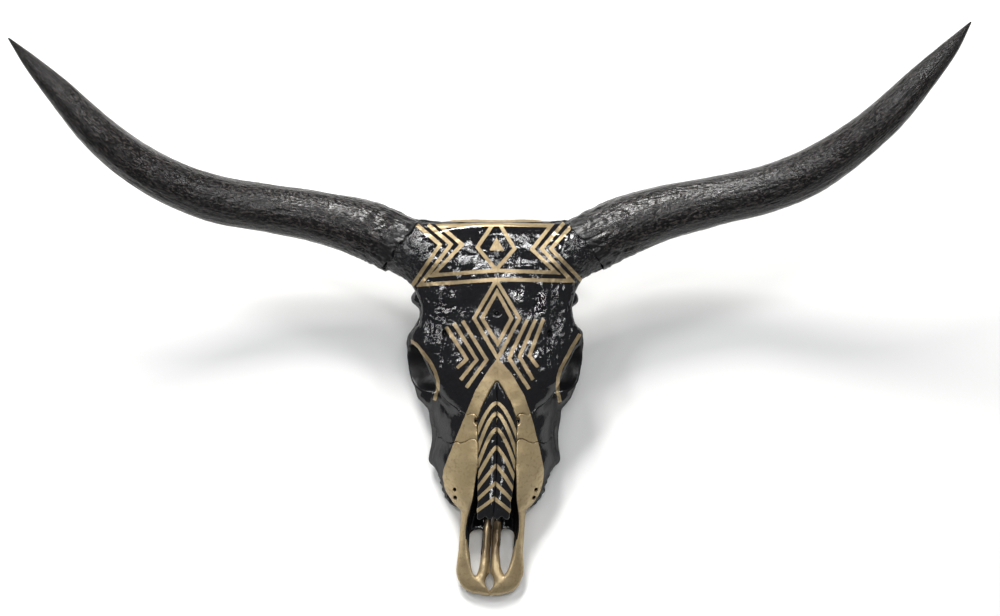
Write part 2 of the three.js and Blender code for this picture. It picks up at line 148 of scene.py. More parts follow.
# The nasal bone: v and half width of the pair.
NASAL = [
    (101, 20), (106, 22), (130, 22.5), (160, 24), (200, 25.5), (231, 26), (250, 21), (270, 12),
    (288, 1),
]
NASAL_THICKNESS = 6.0
NASAL_UNDERSIDE = -34.0
# The nose opening: v and half width. Its floor follows the palate.
NOSE_OPENING = [
    (14, 11), (20, 18), (26, 21.5), (42, 27.7), (64, 32), (87, 34.5), (100, 33.8), (112, 31.8),
    (130, 28.2), (142, 27), (152, 26.4), (162, 25.6), (171, 24.2), (200, 22), (225, 14),
]
NOSE_ROOFED = 172.0  # behind this v the nasal bones meet the maxillae
# The fissures through the palate: v, inner and outer edge.
FISSURE = [
    (20, 16.5, 17.5), (25, 15.5, 21), (35, 13.6, 25.5), (50, 12.3, 28.6), (66, 11.8, 30.5),
    (76, 12, 31), (87, 12.5, 31),
]

ALVEOLAR_RIDGE = [
    (50, 116, -72, 4, 5), (58, 127, -75, 6.5, 7), (62, 136.5, -76, 7.3, 8),
    (67, 157, -76, 8, 9), (72, 172, -76, 6, 8),
]
# Lumps and holes: centre, radii, how softly they join. A hole may have a lip: its
# height and width.
POLL_LUMPS = [
    ((34, 497, -22), (44, 8, 9), 7),  # the crest between the horns
    ((0, 484, -52), (18, 13, 30), 16),  # the nape's knob
    ((58, 462, -84), (16, 14, 30), 14),  # behind the ears
]
JAW_JOINT = [((107.5, 399, -92), (8.5, 9, 9), 5)]
BASE_LUMPS = [
    ((27, 455, -158), (15.5, 18, 24), 7),  # condyle
    ((38, 402, -138), (10, 17, 17), 5),  # bulla
    ((13, 398, -136), (9, 12, 10), 8),  # tubercle before the condyles
    ((66, 290, -88), (18, 20, 11), 10),  # tuber behind the teeth
]
ALVEOLAR_LUMPS = [
    ((67, 157, -76), (10, 7, 10), 3), ((65, 146, -77), (9.5, 5, 9), 3),
    ((62, 136.5, -76), (9, 5.5, 9), 3), ((58, 127, -75), (8.5, 4.5, 8), 3),
    ((52, 119, -73), (7, 4, 6), 3),
]
ORBIT, ORBIT_RADII = (102, 304, -57), (54, 33, 30)
# Small openings that keep a black ring in the gold: u, v, radius.
FORAMINA = [(54.5, 141, 2), (53, 130, 2.2)]
NASAL_NOTCH = (28, 235, 2)
HOLES = [
    (ORBIT, ORBIT_RADII, 3, 2.4, 4.5),
    ((48, 326, -70), (14, 9, 8), 3),  # optic canal
    ((74, 281, -62), (9, 8, 7), 2),  # tear duct
    ((0, 294, -114), (18, 34, 27), 4),  # the nose's way to the throat
    ((0, 474, -141), (16.5, 44, 14.5), 4, 2, 4),  # foramen magnum
    ((44, 494, -78), (24, 14, 26), 8),  # hollow of the nape
    ((86, 427, -100), (14, 3.6, 3.6), 1.5),  # ear opening
    ((32, 372, -126), (4, 6, 8), 2),
    ((26, 414, -146), (4, 9, 10), 2),
    *[((u, v, -33), (r + 0.4, r + 0.9, 12), 1) for u, v, r in FORAMINA],
    ((70, 352, -2), (3, 5.5, 8), 2),  # over the eye
    ((0.7, 379, 4), (3.4, 3.4, 9), 1.5),  # the pit inside the lower lozenge
    ((22, 252, -108), (3.5, 6, 7), 2),  # in the palate
    ((*NASAL_NOTCH[:2], -4), (2.6, 5, 9), 1.5),
]

# The bones' outlines from the side: v and w.
BORDERS = dict(
    incisive=[(-40, 80), (176, 80), (176, -18), (95, -60), (86, -100), (-40, -100)],
    lacrimal=[(206, 80), (240, 80), (240, -10), (288, -30), (294, -46), (270, -62),
              (222, -62), (210, -42), (206, -15)],
    zygomatic=[(222, -62), (270, -62), (300, -66), (322, -60), (354, -60), (356, -78),
               (368, -84), (360, -104), (300, -114), (240, -112), (224, -94)],
    maxilla=[(-40, 80), (212, 80), (212, -55), (232, -62), (250, -70), (288, -76),
             (286, -160), (-40, -160)],
)
INNER_LIMIT = dict(lacrimal=26, zygomatic=62)

TOOTH_ROW_START = 127.0
TOOTH_ROW_OUTER = (50, 70)  # its outer side, at the front and at the back
TOOTH_LENGTHS = (15, 18, 19, 25, 29, 31)
TOOTH_WIDTHS = (16, 20, 22, 25, 26, 25)
MOLARS_START = 3  # teeth from this one on have two lobes
LOBE_OVERLAP = 0.7

HORNS = dict(
    left=[
        (-60, 448, -32, 36), (-92, 457, -35, 41), (-122, 468, -38, 42), (-182, 494, -41, 39.6),
        (-245, 510, -38, 35.2), (-308, 520, -30, 33), (-369, 530, -13, 32),
        (-425, 549, 10, 30.3), (-475, 578, 35, 27.4), (-518, 615, 60, 24.4),
        (-555, 657, 82, 18.4), (-591, 698, 105, 10), (-613, 725, 125, 1),
    ],
    right=[
        (56, 448, -32, 36), (86, 457, -35, 41), (113, 468, -38, 42), (169, 495, -41, 41),
        (231, 516, -38, 37), (293, 530, -30, 33.6), (353, 543, -13, 32.6),
        (409, 564, 10, 31), (458, 595, 35, 27.6), (501, 632, 60, 24.3),
        (539, 674, 82, 19), (574, 715, 105, 10.9), (595, 745, 125, 1),
    ],
)
SHEATH_START = 2 / 12 + 0.008  # as a share of the horn's curve
SHEATH_END = 0.9993
SHEATH_WALL = 2.2
SHEATH_DEPTH = 9.0  # how deep its open end is hollow
GRAIN_RADIUS = 36.0  # of the drum on which the grain is laid out
HORN_SEEDS = dict(left=50, right=70)

# ---- small mathematics


def ramp(value, start, end):
    """Rises smoothly from 0 at start to 1 at end."""
    t = np.clip((value - start) / (end - start), 0.0, 1.0)
    return t * t * (3 - 2 * t)


def fade(value, start, end):
    return 1 - ramp(value, start, end)


def hump(distance, width):
    return np.exp(-(distance / width) ** 2)


def unit(vectors):
    return vectors / np.linalg.norm(vectors, axis=1, keepdims=True)


def through(places, values):
    """A smooth curve through values that makes no bumps of its own."""
    x, y = np.array(places, float), np.array(values, float)
    width = np.diff(x)
    slope = np.diff(y) / width
    product, total = slope[:-1] * slope[1:], slope[:-1] + slope[1:]
    inner = np.where(product > 0, 2 * product / np.where(total == 0, 1, total), 0)
    tangent = np.concatenate((slope[:1], inner, slope[-1:]))

    def at(where):
        q = np.clip(where, x[0], x[-1])
        i = np.clip(np.searchsorted(x, q) - 1, 0, len(width) - 1)
        t = (q - x[i]) / width[i]
        start = (1 + 2 * t) * (1 - t) ** 2 * y[i] + t * (1 - t) ** 2 * width[i] * tangent[i]
        end = t * t * (3 - 2 * t) * y[i + 1] + t * t * (t - 1) * width[i] * tangent[i + 1]
        return (start + end).astype(np.float32)

    return at


def spline(points):
    """A centripetal Catmull-Rom curve, read by its share of the points."""
    p = np.array(points, float)
    p = np.vstack((2 * p[0] - p[1], p, 2 * p[-1] - p[-2]))
    gaps = np.sqrt(np.linalg.norm(np.diff(p, axis=0), axis=1))[:, None]

    def at(share):
        place = np.clip(np.asarray(share, float), 0, 1) * (len(p) - 3)
        i = np.minimum(place.astype(int), len(p) - 4)
        t = (place - i)[:, None]
        p0, p1, p2, p3 = p[i], p[i + 1], p[i + 2], p[i + 3]
        d0, d1, d2 = gaps[i], gaps[i + 1], gaps[i + 2]
        leave = ((p1 - p0) / d0 - (p2 - p0) / (d0 + d1) + (p2 - p1) / d1) * d1
        enter = ((p2 - p1) / d1 - (p3 - p1) / (d1 + d2) + (p3 - p2) / d2) * d1
        square, cube = t * t, t * t * t
        return ((2 * cube - 3 * square + 1) * p1 + (cube - 2 * square + t) * leave
                + (3 * square - 2 * cube) * p2 + (cube - square) * enter)

    return at


def lattice(ix, iy, iz, seed):
    """A number from 0 to 1 for each whole place, always the same for the same seed."""
    n = (ix * 73856093) ^ (iy * 19349663) ^ (iz * 83492791) ^ (seed * 2654435761)
    n = (n & 0xFFFFFFFF).astype(np.uint64)
    n = ((n ^ (n >> 15)) * 2246822519) & 0xFFFFFFFF
    n = ((n ^ (n >> 13)) * 3266489917) & 0xFFFFFFFF
    return ((n ^ (n >> 16)) & 0xFFFFFF).astype(np.float32) / 0xFFFFFF


def noise(points, size, seed=0):
    """Smooth noise from -1 to 1 with lumps of about the given size in mm."""
    q = np.asarray(points, float) / size
    base = np.floor(q).astype(np.int64)
    f = (q - base).astype(np.float32)
    f = f * f * (3 - 2 * f)
    total = np.zeros(len(q), np.float32)
    for corner in np.ndindex(2, 2, 2):
        weight = np.abs(1 - np.array(corner, np.float32) - f).prod(axis=1)
        total += weight * lattice(*(base + corner).T, seed)
    return total * 2 - 1


def soft_min(a, b, soft):
    """The lower of two values, rounded where they are within soft of each other."""
    h = np.maximum(soft - np.abs(a - b), 0) / soft
    return np.minimum(a, b) - h * h * (soft / 4)


def soft_max(a, b, soft):
    return -soft_min(-a, -b, soft)


def polygon_distance(px, py, corners):
    """Distance to a polygon's edge, positive inside."""
    best = np.full(px.shape, 1e9, np.float32)
    inside = np.zeros(px.shape, bool)
    for (ax, ay), (bx, by) in zip(corners, corners[1:] + corners[:1]):
        ex, ey = bx - ax, by - ay
        t = np.clip(((px - ax) * ex + (py - ay) * ey) / (ex * ex + ey * ey), 0, 1)
        best = np.minimum(best, np.hypot(px - ax - t * ex, py - ay - t * ey))
        crosses = (ay > py) != (by > py)
        reach = ax + (py - ay) * ex / (ey if ey else 1e-9)
        inside ^= crosses & (px < reach)
    return np.where(inside, best, -best)


def floor_depth(v):
    return -REST_DEPTH - v * math.tan(FACE_PITCH)


def palate_depth(v):
    return floor_depth(v) + TOOTH_CROWN


# ---- distance shapes
# Each shape is a function of x (outwards), y (= v) and z (= w), below zero inside, with
# the box that holds it. The skull is carved on one side and mirrored.

OFF_AXIS = 0.5  # keeps a trunk's axis clear of dividing by zero
END_ROUNDING = 6.0
HAIR = 0.05  # the same for the smaller shapes


def oval(across, along, half, reach, power):
    """Roughly the distance to an oval; power 2 is an ellipse, more is squarer."""
    rho = ((across / half) ** power + (along / reach) ** power) ** (1 / power)
    return np.hypot(across, along) * (1 - 1 / rho)


def trunk(sections, up_power, down_power, upright=False):
    """A body through sections across the face, or through level ones if upright."""
    v, half, top, mid, bottom = zip(*sections)
    low, high = (-max(half), v[0], min(bottom)), (max(half), v[-1], max(top))
    half, top, mid, bottom = (through(v, row) for row in (half, top, mid, bottom))
    up_at = through(v, np.broadcast_to(up_power, len(v)))

    def shape(x, y, z):
        if upright:
            y, z = z, y
        m = mid(y)
        dz = z - m
        reach = np.where(dz > 0, top(y) - m, m - bottom(y))
        power = np.where(dz > 0, up_at(y), down_power).astype(np.float32)
        distance = oval(np.abs(x) + OFF_AXIS, np.abs(dz) + OFF_AXIS, half(y), reach, power)
        return soft_max(distance, np.maximum(v[0] - y, y - v[-1]), END_ROUNDING)

    if upright:
        low, high = ((corner[0], corner[2], corner[1]) for corner in (low, high))
    return shape, low, high


def ellipsoid(centre, radii):
    def shape(x, y, z):
        gaps = x - centre[0], y - centre[1], z - centre[2]
        rho = np.sqrt(sum((gap / radius) ** 2 for gap, radius in zip(gaps, radii))) + 1e-3
        return np.sqrt(sum(gap * gap for gap in gaps) + HAIR) * (1 - 1 / rho)

    low = [c - r for c, r in zip(centre, radii)]
    return shape, low, [c + r for c, r in zip(centre, radii)]


def limb(path, tall_axis=2, steps=26):
    """A round or flattened limb along a smooth path."""
    rows = np.array(path, float)
    share = np.linspace(0, 1, steps + 1)
    centre = spline(rows[:, :3])(share)
    place = share * (len(rows) - 1)
    thick, tall = (np.interp(place, range(len(rows)), rows[:, n]) for n in (3, -1))

    def shape(x, y, z):
        closest, where = np.inf, 0.0
        for n in range(steps):
            way = centre[n + 1] - centre[n]
            gaps = [a - b for a, b in zip((x, y, z), centre[n])]
            t = np.clip(sum(a * b for a, b in zip(gaps, way)) / (way @ way), 0, 1)
            square = sum((a - t * b) ** 2 for a, b in zip(gaps, way))
            where = np.where(square < closest, n + t, where)
            closest = np.minimum(closest, square)
        at = [np.interp(where, range(steps + 1), row) for row in (*centre.T, thick, tall)]
        gaps = [a - b for a, b in zip((x, y, z), at)]
        gaps[tall_axis] = gaps[tall_axis] * at[3] / at[4]
        return (np.sqrt(sum(gap ** 2 for gap in gaps)) - at[3]).astype(np.float32)

    reach = np.maximum(thick, tall)[:, None]
    return shape, (centre - reach).min(axis=0), (centre + reach).max(axis=0)


def nose_opening():
    v, width = zip(*NOSE_OPENING)
    half = through(v, width)
    corner = 14  # the radius between its floor and its walls

    def shape(x, y, z):
        roof = -NASAL_THICKNESS - 6 - 0.04 * (y - NOSE_ROOFED)
        across = np.abs(x) - half(y) + corner
        below = palate_depth(y) + PALATE_THICKNESS - z + corner
        sides = (np.hypot(np.maximum(across, 0), np.maximum(below, 0))
                 + np.minimum(np.maximum(across, below), 0) - corner)
        ends = np.maximum(v[0] - y, y - v[-1])
        roofed = np.where(y > NOSE_ROOFED, z - roof, -50.0)
        return np.maximum(np.maximum(sides, ends), roofed)

    return shape, (-max(width), v[0], -112), (max(width), v[-1], 20)


def fissure():
    v, near, far = zip(*FISSURE)
    near, far = through(v, near), through(v, far)

    def shape(x, y, z):
        sides = np.maximum(near(y) - x, x - far(y))
        ends = np.maximum(v[0] - y, y + 0.2 * (x - 12) - v[-1])
        return soft_max(sides, ends, 8.0) + 0 * z

    return shape, (near(v[-1]), v[0], -95), (far(v[-1]), v[-1], -30)


def slot(x0, y0, half_across, half_along, power, low, high):
    """An upright hole through the palate."""
    def shape(x, y, z):
        distance = oval(np.abs(x - x0) + HAIR, np.abs(y - y0) + HAIR,
                        half_across, half_along, power)
        return np.maximum(distance, np.maximum(low - z, z - high))

    return (shape, (x0 - half_across, y0 - half_along, low),
            (x0 + half_across, y0 + half_along, high))


def tooth_lobe(x0, y0, half_across, half_along):
    """One column of a cheek tooth, with a ridge down its outer face."""
    def shape(x, y, z):
        body = oval(np.abs(x - x0) + HAIR, np.abs(y - y0) + HAIR, half_across, half_along, 4)
        ridge = np.hypot(x - x0 - half_across + 0.6, y - y0) - 2.2
        return soft_min(body, ridge, 2.0)

    return (shape, (x0 - half_across, y0 - half_along, floor_depth(y0 + half_along) - 3),
            (x0 + half_across + 3, y0 + half_along, palate_depth(y0) + 12))


def crescent(x0, y0, radius_x, radius_y, height):
    """A worn enamel crescent in a tooth's grinding face, bowed towards the tongue."""
    def shape(x, y, z):
        across, along = (x - x0) / radius_x, (y - y0) / radius_y
        bow = np.maximum(np.hypot(across, along) - 1, 1 - np.hypot(across - 0.5, along / 0.8))
        return np.maximum(bow * radius_y, z - floor_depth(y) - height)

    return (shape, (x0 - radius_x - 2, y0 - radius_y - 2, floor_depth(y0 + radius_y) - 3),
            (x0 + radius_x + 2, y0 + radius_y + 2, floor_depth(y0) + height + 3))


# ---- the field


AXES = [np.arange(low, high, STEP, dtype=np.float32)
        for low, high in zip(FIELD_LOW, FIELD_HIGH)]
FAR = 24.0


def window(low, high, margin):
    ends = [np.searchsorted(axis, (a - margin, b + margin)) for axis, a, b in zip(AXES, low, high)]
    return tuple(slice(max(first - 1, 0), last + 1) for first, last in ends)


def coordinates(cut):
    return np.ix_(*(axis[part] for axis, part in zip(AXES, cut)))


def add(field, shape_and_box, soft=8.0):
    shape, low, high = shape_and_box
    cut = window(low, high, soft + 4)
    field[cut] = soft_min(field[cut], shape(*coordinates(cut)), soft)


def carve(field, shape_and_box, soft=2.0, lip=0.0, lip_width=5.0):
    """Cuts a shape out, and may raise a lip round its mouth first."""
    shape, low, high = shape_and_box
    cut = window(low, high, soft + 4 + 2 * lip_width * (lip > 0))
    hole = shape(*coordinates(cut))
    if lip:
        field[cut] -= lip * hump(hole, lip_width)
    field[cut] = soft_max(field[cut], -hole, soft)


def tooth_lobes():
    """Each lobe of the cheek teeth: its centre's u and v, half width and half length."""
    front = TOOTH_ROW_START
    for n, (length, width) in enumerate(zip(TOOTH_LENGTHS, TOOTH_WIDTHS)):
        share = (front + length / 2 - TOOTH_ROW_START) / sum(TOOTH_LENGTHS)
        outer = np.interp(share, (0, 1), TOOTH_ROW_OUTER)
        lobes = 2 if n >= MOLARS_START else 1
        for lobe in range(lobes):
            yield (outer - width / 2, front + length * (lobe + 0.5) / lobes,
                   width / 2, length / lobes / 2 + LOBE_OVERLAP)
        front += length


def add_all(field, lumps):
    for centre, radii, soft in lumps:
        add(field, ellipsoid(centre, radii), soft)


def solid_field():
    field = np.full([len(axis) for axis in AXES], FAR, np.float32)
    add(field, trunk(FACE, 2.0, 3.0), 1.0)
    add(field, trunk(FOREHEAD, FOREHEAD_POWERS, 2.0), 16.0)
    add(field, trunk(BRAINCASE, 2.3, 2.3), 12.0)
    add(field, trunk(NAPE, 2.3, 2.3, upright=True), 14.0)
    add_all(field, POLL_LUMPS)
    add(field, limb(PEDICLE, steps=14), 16.0)
    x, y, z = np.ix_(*AXES)
    beyond = (x - PEDICLE_END[0]) * PEDICLE_WAY[0] + (y - PEDICLE_END[1]) * PEDICLE_WAY[1]
    field = soft_max(field, beyond + 0 * z, 1.5)
    add(field, limb(CHEEK_AND_ARCH), 7.0)
    add_all(field, JAW_JOINT)
    for path, tall_axis, steps, soft in (
            (POSTORBITAL_BAR, 0, 10, 9.0), (FACIAL_CREST, 2, 8, 9.0), (JUGULAR_PROCESS, 0, 8, 9.0),
            (PTERYGOID_PLATE, 2, 10, 6.0), (EAR_TUBE, 2, 5, 6.0)):
        add(field, limb(path, tall_axis, steps), soft)
    add_all(field, BASE_LUMPS)
    add(field, limb(ALVEOLAR_RIDGE, steps=10), 5.0)
    add_all(field, ALVEOLAR_LUMPS)
    for lobe in tooth_lobes():
        add(field, tooth_lobe(*lobe), 0.8)
    return field


def hollow_field(field):
    field = field.copy()
    carve(field, nose_opening(), 5.0)
    carve(field, fissure(), 2.0)
    add(field, limb(PALATINE_BAR, steps=12), 2.5)
    carve(field, slot(0, 15, 6.5, 13, 1.4, -60, -20), 2.0)
    carve(field, slot(0, 95, 2.6, 7, 2.0, -90, -40), 1.0)
    for centre, radii, *edges in HOLES:
        carve(field, ellipsoid(centre, radii), *edges)
    for x0, y0, across, along in tooth_lobes():
        carve(field, crescent(x0, y0, across * 0.62, along * 0.66, ENAMEL_DEPTH), 0.8)
    _, y, z = np.ix_(*AXES)
    under_floor = (floor_depth(y) - z) * math.cos(FACE_PITCH)
    return soft_max(field, under_floor, 0.3)


# ---- bones


def border_fields():
    """For each kind of bone, the distance to its border, below zero inside it."""
    x, y, z = np.ix_(*AXES)
    yy, zz = np.meshgrid(AXES[1], AXES[2], indexing="ij")
    flat = np.stack((yy, zz, 0 * yy), axis=-1).reshape(-1, 3)
    wave = (1.3 * noise(flat, 9, 3) + 0.7 * noise(flat, 4, 4)).reshape(yy.shape)
    along = AXES[0][:, None] * (1, 0, 0)
    sway = 4.5 * noise(along, 15, 5) + 1.6 * noise(along, 5, 6) + 0.9 * noise(along, 2.6, 7)
    rows = np.arange(len(AXES[1]))[None] + sway[:, None] / STEP
    rows = np.clip(rows, 0, len(AXES[1]) - 1.001)
    first = rows.astype(int)
    share = (rows - first).astype(np.float32)[..., None]
    borders = {}
    for kind, corners in BORDERS.items():
        side_view = -polygon_distance(yy + wave, zz + wave, corners)
        border = side_view[first] * (1 - share) + side_view[first + 1] * share
        borders[kind] = np.maximum(border, INNER_LIMIT.get(kind, 0.0) - x)
    edge = through(*zip(*NASAL))(y)
    sides = x - edge - 0.5 * wave[None, :, :1]
    ends = np.maximum(NASAL[0][0] - y, y - NASAL[-1][0])
    borders["nasal"] = np.maximum(np.maximum(sides, ends), NASAL_UNDERSIDE - z)
    return borders


def part_bones():
    """Takes each bone out of the skull along its sutures."""
    solid = solid_field()
    rest = hollow_field(solid)
    borders = border_fields()
    x, y, z = np.ix_(*AXES)
    bones = {}
    nasal = np.maximum(borders["nasal"], -(solid + NASAL_THICKNESS))
    tip = NASAL[0][0] + 1.5 + 5 * hump(x - 11, 3.5) + 3 * hump(x, 3)
    bones["nasal"] = soft_max(solid, np.maximum(nasal, tip - y), 1.2)
    bones["nasal"] = soft_max(bones["nasal"], 0.25 - x, 0.6)
    rest = soft_max(rest, 0.35 - nasal, 0.8)
    for kind in ("incisive", "lacrimal", "zygomatic", "maxilla"):
        bones[kind] = soft_max(rest, borders[kind], 0.2)
        gap = -FUSED if kind == "incisive" else 2 * SUTURE
        if kind in ("lacrimal", "zygomatic"):
            gap = gap - (gap + FUSED) * fade(z, -40, -30)
        rest = soft_max(rest, gap - borders[kind], 0.2)
    bar_gap = 0.2 + 0.6 * ramp(y, 20, 30) + 0 * x
    bones["incisive"] = soft_max(bones["incisive"], bar_gap - x, 0.8)
    bones["maxilla"] = soft_max(bones["maxilla"], 0.2 - x, 2.6)
    bones["cranium"] = rest
    return bones


def skin(field, whole):
    """The field's surface as points in mm and quads; whole mirrors it to both sides."""
    inside = np.argwhere(field < 2 * STEP)
    low = np.maximum(inside.min(axis=0) - 2, 0)
    high = inside.max(axis=0) + 3
    if whole:
        low[0] = round(-AXES[0][0] / STEP)  # the middle plane
    start = np.array([axis[n] for axis, n in zip(AXES, low)])
    block = field[tuple(slice(a, b) for a, b in zip(low, high))]
    if whole:
        start[0] -= (len(block) - 1) * STEP
        block = np.concatenate((block[:0:-1], block))
    block = np.clip(block, -3 * STEP, 3 * STEP)
    grid = openvdb.FloatGrid(3 * STEP)
    grid.copyFromArray(np.ascontiguousarray(block))
    points, quads = grid.convertToQuads(0.0)
    return largest_part(points.astype(np.float64) * STEP + start, quads.astype(np.int64))


def largest_part(points, quads):
    """The mesh without its loose crumbs."""
    label, before = np.arange(len(points)), None
    while not np.array_equal(label, before):
        before, lowest = label, label[quads].min(axis=1)
        label = label.copy()
        for corner in quads.T:
            np.minimum.at(label, corner, lowest)
        label = label[label]
    names, counts = np.unique(label, return_counts=True)
    keep = label == names[counts.argmax()]
    number = np.cumsum(keep) - 1
    return points[keep], number[quads[keep[quads[:, 0]]]]


def normals_of(points, quads):
    a, b, c, d = (points[quads[:, k]] for k in range(4))
    face = np.cross(c - a, d - b)
    total = np.zeros_like(points)
    for k in range(4):
        np.add.at(total, quads[:, k], face)
    return total / (np.linalg.norm(total, axis=1, keepdims=True) + 1e-12)


def facing_out(points, quads):
    """The quads, turned over if they enclose less than nothing."""
    a, b, c, d = (points[quads[:, k]] for k in range(4))
    volume = np.einsum("ij,ij->i", a, np.cross(b, c) + np.cross(c, d)).sum()
    return quads[:, ::-1] if volume < 0 else quads


# ---- surface relief


def snout_lean(v):
    return SNOUT_LEAN * ramp(LEAN_STARTS - v, 0, LEAN_STARTS - LEAN_ENDS)


def lean(points):
    """The muzzle leans to -u, and so do the horns' bases and the cheeks."""
    u, v, w = points.T
    side = np.abs(u)
    horns = HORN_LEAN * ramp(side, 60, 112) * ramp(v, 380, 440)
    cheeks = CHEEK_LEAN * ramp(-w, 30, 60) * ramp(side, 40, 80)
    cheeks = cheeks * ramp(v, 60, 130) * fade(v, 380, 440)
    return np.stack((u - snout_lean(v) - horns - cheeks, v, w), axis=1)


def relief(kind, points, normals):
    """How far each point of the bone stands off its smooth shape, in mm."""
    u, v, w = points.T
    side = np.abs(u)
    up = np.clip(normals[:, 2], 0, 1)
    lengthwise = points * (1, 0.3, 1)
    calm = fade(side, 38, 62) * ramp(v, 285, 305) * up
    height = 0.9 * noise(points, 26, 11) + (0.5 - 0.24 * calm) * noise(points, 12, 12)
    rough = 0.10 - 0.06 * calm
    if kind == "cranium":
        root = ramp(side, 92, 118) * ramp(v, 405, 425)
        temple = ramp(side, 70, 92) * ramp(v, 300, 330) * (1 - root)
        brow = ramp(side, 45, 72) * (1 - 0.4 * ramp(side, 96, 110)) * up
        brow = brow * ramp(v, 290, 320) * (1 - 0.7 * ramp(v, 425, 440))
        nape = ramp(normals[:, 1] - normals[:, 2], 0.4, 1.0) * ramp(v, 430, 455)
        rough = rough + 0.75 * root + 0.3 * temple + 0.35 * brow + 0.3 * nape
        height = height + 0.9 * (root * noise(points, 6, 13) + brow * noise(lengthwise, 6, 20))
        wrinkles = noise(points * (0.4, 1, 1), 4.6, 21) * ramp(v, 425, 445)
        grooves = hump(np.abs(side - 70 - 4 * noise(points, 40, 14)), 3.0)
        grooves = grooves * ramp(v, 290, 320) * fade(v, 350, 362)
        seam = hump(u - 0.8 * noise(points, 5, 15), 0.9) * ramp(v, 289, 296) * fade(v, 470, 486)
        height = height + up * (0.28 * wrinkles - 1.6 * grooves - 0.5 * seam)
    if kind == "nasal":
        height = 0.35 * noise(points, 22, 16) + 1.1 * np.cos(np.pi * (side - 12) / 26) * up
        rough = 0.06
    if kind == "incisive":
        rough = 0.12
        bars = fade(side, 12, 16) * ramp(v, 20, 40)
        height = height * (1 - 0.5 * bars) + 1.1 * bars * noise(points * (1, 0.22, 1), 4, 22)
    if kind == "maxilla":
        tooth = ramp(floor_depth(v) - w, -12, -8)
        front_edge = ramp(-w, 52, 66) * fade(v, 150, 175) * (1 - tooth)
        height = height * (1 - tooth) + 0.9 * front_edge * noise(points, 6, 17)
        vault = ramp(-normals[:, 2], 0.6, 0.9) * fade(side, 10, 36) * ramp(v, 108, 150)
        height = height - PALATE_VAULT * vault
        rough = rough * (1 - 0.6 * tooth) + 0.5 * front_edge
    pores = noise(points, 3.4, 18)
    bumps = 0.8 * noise(points, 5.2, 19) + 0.7 * pores - 0.9 * np.clip(pores - 0.35, 0, 1)
    return height + rough * bumps


def pitted_of(points, normals):
    """Pits in the paint at the horns' roots, and wrinkles down the sides of the brow."""
    side, v = np.abs(points[:, 0]), points[:, 1]
    roots = ramp(side, 86, 112) * ramp(v, 400, 425)
    sides = ramp(side, 50, 78) * ramp(v, 290, 320) * fade(v, 400, 425)
    return np.maximum(roots, 0.2 * sides * np.clip(normals[:, 2], 0, 1))


def gloss_of(points, normals):
    """The face is painted thick and glossy, the cheeks and the eye sockets thinly; where the gloss
    is low the black is also lighter, a painted sheen.
    """
    _, v, w = points.T
    side, facing = np.abs(points[:, 0]), normals[:, 2]
    steep = fade(facing, 0.3, 0.85)
    cheek = steep * ramp(facing, -0.5, -0.1) * fade(v, 330, 400)
    roots = ramp(side, 100, 122) * ramp(v, 405, 425)
    out_of_socket = np.linalg.norm((np.stack((side, v, w), axis=1) - ORBIT) / ORBIT_RADII, axis=1)
    socket = fade(out_of_socket, 1.0, 1.08) * ramp(-w, 22, 34)
    return (1 - 0.45 * steep) * (1 - 0.95 * cheek) * (1 - 0.4 * roots) * (1 - 0.7 * socket)


# ---- the painted ornament
# Strokes lie on the face as u, v in mm, square to the forehead.

STROKE = 4.9
STROKES = [
    [(-76, 495.2), (-46.6, 470.6), (-85.1, 429.6), (0, 436), (78.5, 433.2), (46.6, 464.2),
     (71.8, 495.7), (0, 497.2), (-76, 495.2)],
    [(-91.8, 497.4), (-61.2, 470.6), (-102.4, 416.9), (0, 423.9), (99.2, 422.3),
     (59.5, 465), (89.1, 499.4)],
    [(-111.7, 501.4), (-75.8, 470.2), (-113, 415.5)],
    [(105.7, 502.7), (71.8, 465), (113.5, 421.3)],
    [(-6.6, 495.8), (-26.2, 466.8), (-1.3, 437), (23.5, 465), (4.6, 495.8)],
    [(-1, 423), (-30.6, 372.4), (1.2, 319), (29.7, 372.4), (-1, 423)],
    [(0, 408), (-20, 372.4), (1, 338.5), (19.4, 372.4), (0, 408)],
    [(-67.8, 361), (-40.3, 318.1), (-53.2, 305.9)],
    [(-57.2, 365.8), (-27, 317.1), (-48.5, 290.6)],
    [(-45.8, 368.8), (-13.8, 317.1), (-40.8, 280.1)],
    [(61.8, 371.6), (43.1, 322.5), (54.5, 307.2)],
    [(51.3, 371.1), (29.9, 321.5), (47.9, 290.6)],
    [(40.3, 370), (16, 319.2), (42.6, 278.4)],
]
ORBIT_STRIPES = [
    [(-116.5, 342.8), (-108.4, 338.2), (-99.2, 327.4), (-89.3, 314.4), (-82.5, 301.4),
     (-78.4, 288.4), (-79, 277.3), (-83.3, 263.3)],
    [(110.5, 351.5), (101, 335.8), (94, 322.5), (85.3, 306.4), (81.3, 293.9),
     (80.5, 277.3), (83.8, 260.7)],
]
STROKES_REACH = 34.0  # how deep below the face plane they go
STRIPES_REACH = (285, 300, 335, 345), (85, 62, 50, 40)
TRIANGLE = [(-10.6, 462.6), (10.1, 462.4), (-0.5, 479.9)]
MUZZLE = [
    (0.8, 319.5), (-11, 304.6), (-28.6, 276.6), (-43.9, 239.4), (-61.2, 196.8), (-71, 171.6),
    (-72.4, 162), (-70.4, 150), (-67, 139), (-60.5, 128.5), (-56, 121.5), (-90, 112),
    (-90, -60), (90, -60), (90, 110), (43.5, 119.5), (49.5, 128), (56.5, 139), (60.2, 150),
    (62, 160), (62.4, 171), (58, 194.2), (46.6, 239.4), (36.7, 269.3), (19.2, 299.3),
]
